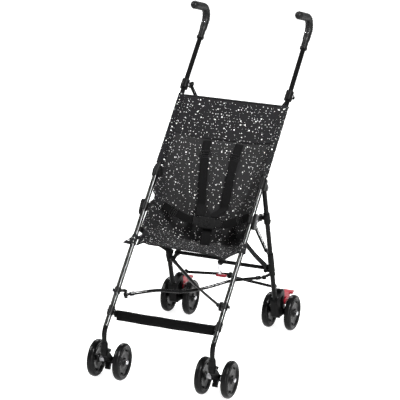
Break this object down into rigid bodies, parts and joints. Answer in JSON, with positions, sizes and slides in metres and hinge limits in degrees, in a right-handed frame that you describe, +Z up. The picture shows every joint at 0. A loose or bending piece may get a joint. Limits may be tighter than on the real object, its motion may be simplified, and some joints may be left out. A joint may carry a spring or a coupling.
{
  "type": "umbrella stroller",
  "caption": "Light folding pushchair: sloping tube side frames with hooked grips, twin swivel casters, crossed braces, folding rear bar and a hung cloth seat with a buckled harness",
  "frame": {"origin": "middle of the footprint, on the floor", "axes": "X across, -Y forward, +Z up"},
  "size_m": [0.488, 0.8938, 1.0594],
  "materials": {
    "tube": "gloss black",
    "plastic": "satin black moulded plastic",
    "grip": "ribbed black grip",
    "tyre": "glossy black moulded wheel",
    "red": "red moulded plastic",
    "grey": "grey moulded plastic",
    "cloth": "charcoal woven cloth with pale specks",
    "webbing": "black webbing"
  },
  "bodies": {
    "frame_left": {"main_tube_left": "tube", "handle_grip_left": "grip", "upper_bracket_left": "plastic", "leg_pivot_left": "plastic", "side_bracket_left": "grey", "brace_bracket_left": "plastic", "foot_bracket_left": "plastic", "caster_housing_left": "plastic", "sleeve_left": "cloth", "seat_base": "cloth", "seat_back": "cloth", "footrest_band": "webbing", "shoulder_straps": "webbing", "waist_straps": "webbing", "crotch_strap": "webbing", "strap_sliders": "plastic"},
    "frame_right": {"main_tube_right": "tube", "handle_grip_right": "grip", "upper_bracket_right": "plastic", "leg_pivot_right": "plastic", "side_bracket_right": "grey", "brace_bracket_right": "plastic", "foot_bracket_right": "plastic", "caster_housing_right": "plastic", "sleeve_right": "cloth"},
    "leg_left": {"rear_leg_left": "tube", "cross_joint_left": "plastic", "rear_bracket_left": "plastic"},
    "back_bar_left": {"back_brace_left": "tube"},
    "lower_bar_left": {"lower_brace_left": "tube"},
    "rear_bar_left": {"rear_bar_left": "tube"},
    "lock_link_left": {"lock_link_left": "tube"},
    "caster_left": {"caster_fork_left": "plastic"},
    "swivel_lock_left": {"swivel_lock_left": "plastic"},
    "front_wheel_left_out": {"front_wheel_left_out": "tyre"},
    "rear_wheel_left_out": {"rear_wheel_left_out": "tyre"},
    "front_wheel_left_in": {"front_wheel_left_in": "tyre"},
    "rear_wheel_left_in": {"rear_wheel_left_in": "tyre"},
    "brake_left": {"brake_pedal_left": "red"},
    "leg_right": {"rear_leg_right": "tube", "cross_joint_right": "plastic", "rear_bracket_right": "plastic", "latch_clamp": "plastic"},
    "back_bar_right": {"back_brace_right": "tube"},
    "lower_bar_right": {"lower_brace_right": "tube"},
    "rear_bar_right": {"rear_bar_right": "tube"},
    "lock_link_right": {"lock_link_right": "tube"},
    "caster_right": {"caster_fork_right": "plastic"},
    "swivel_lock_right": {"swivel_lock_right": "plastic"},
    "front_wheel_right_out": {"front_wheel_right_out": "tyre"},
    "rear_wheel_right_out": {"rear_wheel_right_out": "tyre"},
    "front_wheel_right_in": {"front_wheel_right_in": "tyre"},
    "rear_wheel_right_in": {"rear_wheel_right_in": "tyre"},
    "brake_right": {"brake_pedal_right": "red"},
    "pedal": {"fold_pedal": "grey", "pedal_pad": "red"},
    "latch": {"storage_latch": "plastic"},
    "buckle": {"buckle_body": "plastic"},
    "button": {"buckle_button": "grey"}
  },
  "joints": [
    {"name": "fold", "type": "slide", "parent": "frame_left", "child": "frame_right", "axis": [-1, 0, 0], "range_m": [0, 0.134], "deforming": ["seat_base", "seat_back", "footrest_band", "shoulder_straps", "waist_straps", "crotch_strap", "strap_sliders", "lower_brace_left", "lower_brace_right"]},
    {"name": "leg_swing_left", "type": "hinge", "parent": "frame_left", "child": "leg_left", "pos_m": [-0.183, 0.02029, 0.55342], "axis": [-1, 0, 0], "range_deg": [0, 35]},
    {"name": "back_bar_turn_left", "type": "hinge", "parent": "frame_left", "child": "back_bar_left", "pos_m": [-0.18, 0.28991, 0.78148], "axis": [-0.5989, 0.5292, -0.601], "range_deg": [0, 19.52]},
    {"name": "lower_bar_turn_left", "type": "hinge", "parent": "frame_left", "child": "lower_bar_left", "pos_m": [-0.162, -0.3015, 0.25334], "axis": [0.1705, -0.2122, -0.9622], "range_deg": [0, 5.63]},
    {"name": "rear_bar_turn_left", "type": "hinge", "parent": "leg_left", "child": "rear_bar_left", "pos_m": [-0.162, 0.12917, 0.24505], "axis": [0, -0.9664, -0.2572], "range_deg": [0, 54.1]},
    {"name": "lock_link_turn_left", "type": "hinge", "parent": "leg_left", "child": "lock_link_left", "pos_m": [-0.162, 0.1983, 0.14939], "axis": [0, -0.9664, -0.2572], "range_deg": [0, 48.98]},
    {"name": "swivel_left", "type": "hinge", "parent": "frame_left", "child": "caster_left", "pos_m": [-0.183, -0.42392, 0.11], "axis": [0, 0, 1], "continuous": true},
    {"name": "swivel_lock_turn_left", "type": "hinge", "parent": "caster_left", "child": "swivel_lock_left", "pos_m": [-0.183, -0.40192, 0.098], "axis": [1, 0, 0], "range_deg": [0, 35]},
    {"name": "front_wheel_left_out_spin", "type": "hinge", "parent": "caster_left", "child": "front_wheel_left_out", "pos_m": [-0.227, -0.38692, 0.06], "axis": [1, 0, 0], "continuous": true},
    {"name": "rear_wheel_left_out_spin", "type": "hinge", "parent": "leg_left", "child": "rear_wheel_left_out", "pos_m": [-0.2225, 0.19808, 0.06], "axis": [1, 0, 0], "continuous": true},
    {"name": "front_wheel_left_in_spin", "type": "hinge", "parent": "caster_left", "child": "front_wheel_left_in", "pos_m": [-0.139, -0.38692, 0.06], "axis": [1, 0, 0], "continuous": true},
    {"name": "rear_wheel_left_in_spin", "type": "hinge", "parent": "leg_left", "child": "rear_wheel_left_in", "pos_m": [-0.1435, 0.19808, 0.06], "axis": [1, 0, 0], "continuous": true},
    {"name": "brake_press_left", "type": "hinge", "parent": "leg_left", "child": "brake_left", "pos_m": [-0.183, 0.19908, 0.096], "axis": [-1, 0, 0], "range_deg": [0, 18], "stiffness_Nm_per_rad": 0.6},
    {"name": "leg_swing_right", "type": "hinge", "parent": "frame_right", "child": "leg_right", "pos_m": [0.183, 0.02029, 0.55342], "axis": [-1, 0, 0], "range_deg": [0, 35]},
    {"name": "back_bar_turn_right", "type": "hinge", "parent": "frame_right", "child": "back_bar_right", "pos_m": [0.18, 0.2748, 0.78676], "axis": [-0.5989, -0.5292, 0.601], "range_deg": [0, 19.52]},
    {"name": "lower_bar_turn_right", "type": "hinge", "parent": "frame_right", "child": "lower_bar_right", "pos_m": [0.162, -0.3015, 0.26034], "axis": [0.1705, 0.2122, 0.9622], "range_deg": [0, 5.63]},
    {"name": "rear_bar_turn_right", "type": "hinge", "parent": "leg_right", "child": "rear_bar_right", "pos_m": [0.162, 0.1139, 0.24098], "axis": [0, 0.9664, 0.2572], "range_deg": [0, 54.1]},
    {"name": "lock_link_turn_right", "type": "hinge", "parent": "leg_right", "child": "lock_link_right", "pos_m": [0.162, 0.18787, 0.14661], "axis": [0, 0.9664, 0.2572], "range_deg": [0, 48.98]},
    {"name": "swivel_right", "type": "hinge", "parent": "frame_right", "child": "caster_right", "pos_m": [0.183, -0.42392, 0.11], "axis": [0, 0, 1], "continuous": true},
    {"name": "swivel_lock_turn_right", "type": "hinge", "parent": "caster_right", "child": "swivel_lock_right", "pos_m": [0.183, -0.40192, 0.098], "axis": [1, 0, 0], "range_deg": [0, 35]},
    {"name": "front_wheel_right_out_spin", "type": "hinge", "parent": "caster_right", "child": "front_wheel_right_out", "pos_m": [0.227, -0.38692, 0.06], "axis": [1, 0, 0], "continuous": true},
    {"name": "rear_wheel_right_out_spin", "type": "hinge", "parent": "leg_right", "child": "rear_wheel_right_out", "pos_m": [0.2225, 0.19808, 0.06], "axis": [1, 0, 0], "continuous": true},
    {"name": "front_wheel_right_in_spin", "type": "hinge", "parent": "caster_right", "child": "front_wheel_right_in", "pos_m": [0.139, -0.38692, 0.06], "axis": [1, 0, 0], "continuous": true},
    {"name": "rear_wheel_right_in_spin", "type": "hinge", "parent": "leg_right", "child": "rear_wheel_right_in", "pos_m": [0.1435, 0.19808, 0.06], "axis": [1, 0, 0], "continuous": true},
    {"name": "brake_press_right", "type": "hinge", "parent": "leg_right", "child": "brake_right", "pos_m": [0.183, 0.19908, 0.096], "axis": [-1, 0, 0], "range_deg": [0, 18], "stiffness_Nm_per_rad": 0.6},
    {"name": "pedal_lift", "type": "hinge", "parent": "rear_bar_left", "child": "pedal", "pos_m": [-0.02, 0.14318, 0.24877], "axis": [1, 0, 0], "range_deg": [0, 35]},
    {"name": "latch_swing", "type": "hinge", "parent": "leg_right", "child": "latch", "pos_m": [0.1655, 0.05064, 0.43939], "axis": [1, 0, 0], "range_deg": [0, 70]},
    {"name": "buckle_follow", "type": "slide", "parent": "frame_left", "child": "buckle", "axis": [-1, 0, 0], "range_m": [0, 0.067]},
    {"name": "button_press", "type": "slide", "parent": "buckle", "child": "button", "axis": [0, 0.9781, -0.2079], "range_m": [0, 0.0006], "stiffness_N_per_m": 400}
  ],
  "couplings": [
    {"joint": "leg_swing_left", "follows": "fold", "rad_per_m": 4.5587},
    {"joint": "back_bar_turn_left", "follows": "fold", "rad_per_m": 2.5426},
    {"joint": "lower_bar_turn_left", "follows": "fold", "rad_per_m": 0.73311},
    {"joint": "rear_bar_turn_left", "follows": "fold", "rad_per_m": 7.046},
    {"joint": "lock_link_turn_left", "follows": "fold", "rad_per_m": 6.38},
    {"joint": "leg_swing_right", "follows": "fold", "rad_per_m": 4.5587},
    {"joint": "back_bar_turn_right", "follows": "fold", "rad_per_m": 2.5426},
    {"joint": "lower_bar_turn_right", "follows": "fold", "rad_per_m": 0.73311},
    {"joint": "rear_bar_turn_right", "follows": "fold", "rad_per_m": 7.046},
    {"joint": "lock_link_turn_right", "follows": "fold", "rad_per_m": 6.38},
    {"joint": "buckle_follow", "follows": "fold", "ratio": 0.5}
  ]
}
